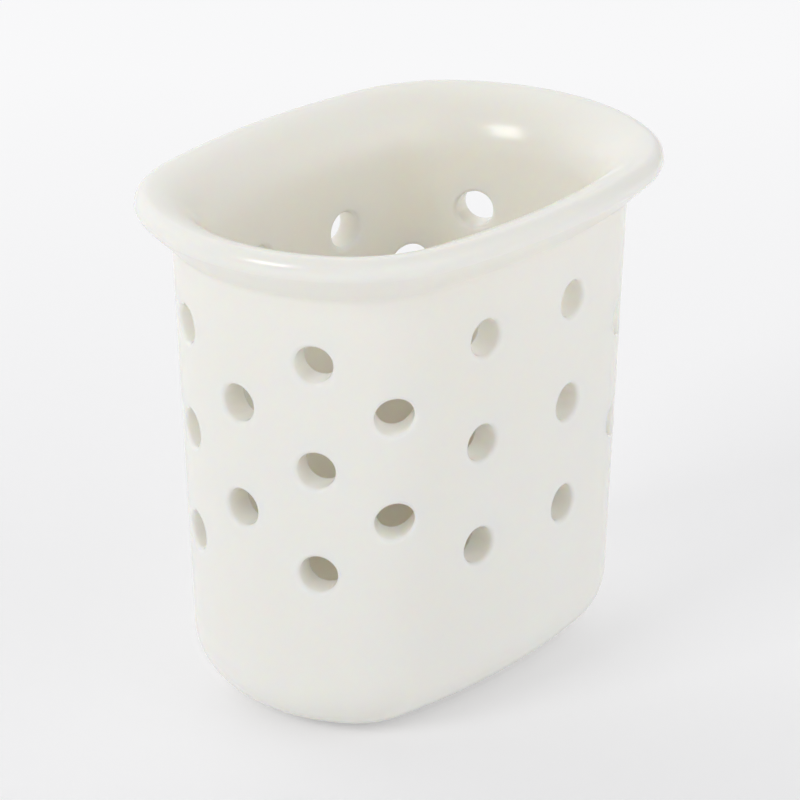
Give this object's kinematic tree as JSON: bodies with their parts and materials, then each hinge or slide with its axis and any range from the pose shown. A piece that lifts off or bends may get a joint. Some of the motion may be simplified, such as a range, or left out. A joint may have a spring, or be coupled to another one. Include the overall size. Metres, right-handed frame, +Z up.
{
  "type": "draining container",
  "caption": "Oval tapered porcelain container with a flared rolled rim and staggered drain holes in wall and floor, standing on small soft foot pads.",
  "frame": {"origin": "on the standing surface, under the middle of the oval", "axes": "+Z up through the mouth, +X along the long side, -Y towards the front long side"},
  "size_m": [0.1276, 0.0918, 0.12],
  "materials": {
    "glazed_porcelain": "glossy warm white glaze",
    "silicone": "matt, slightly translucent"
  },
  "bodies": {
    "root": {"porcelain_vessel": "glazed_porcelain", "foot_pad_front_left": "silicone", "foot_pad_front_right": "silicone", "foot_pad_rear_left": "silicone", "foot_pad_rear_right": "silicone"}
  },
  "joints": []
}
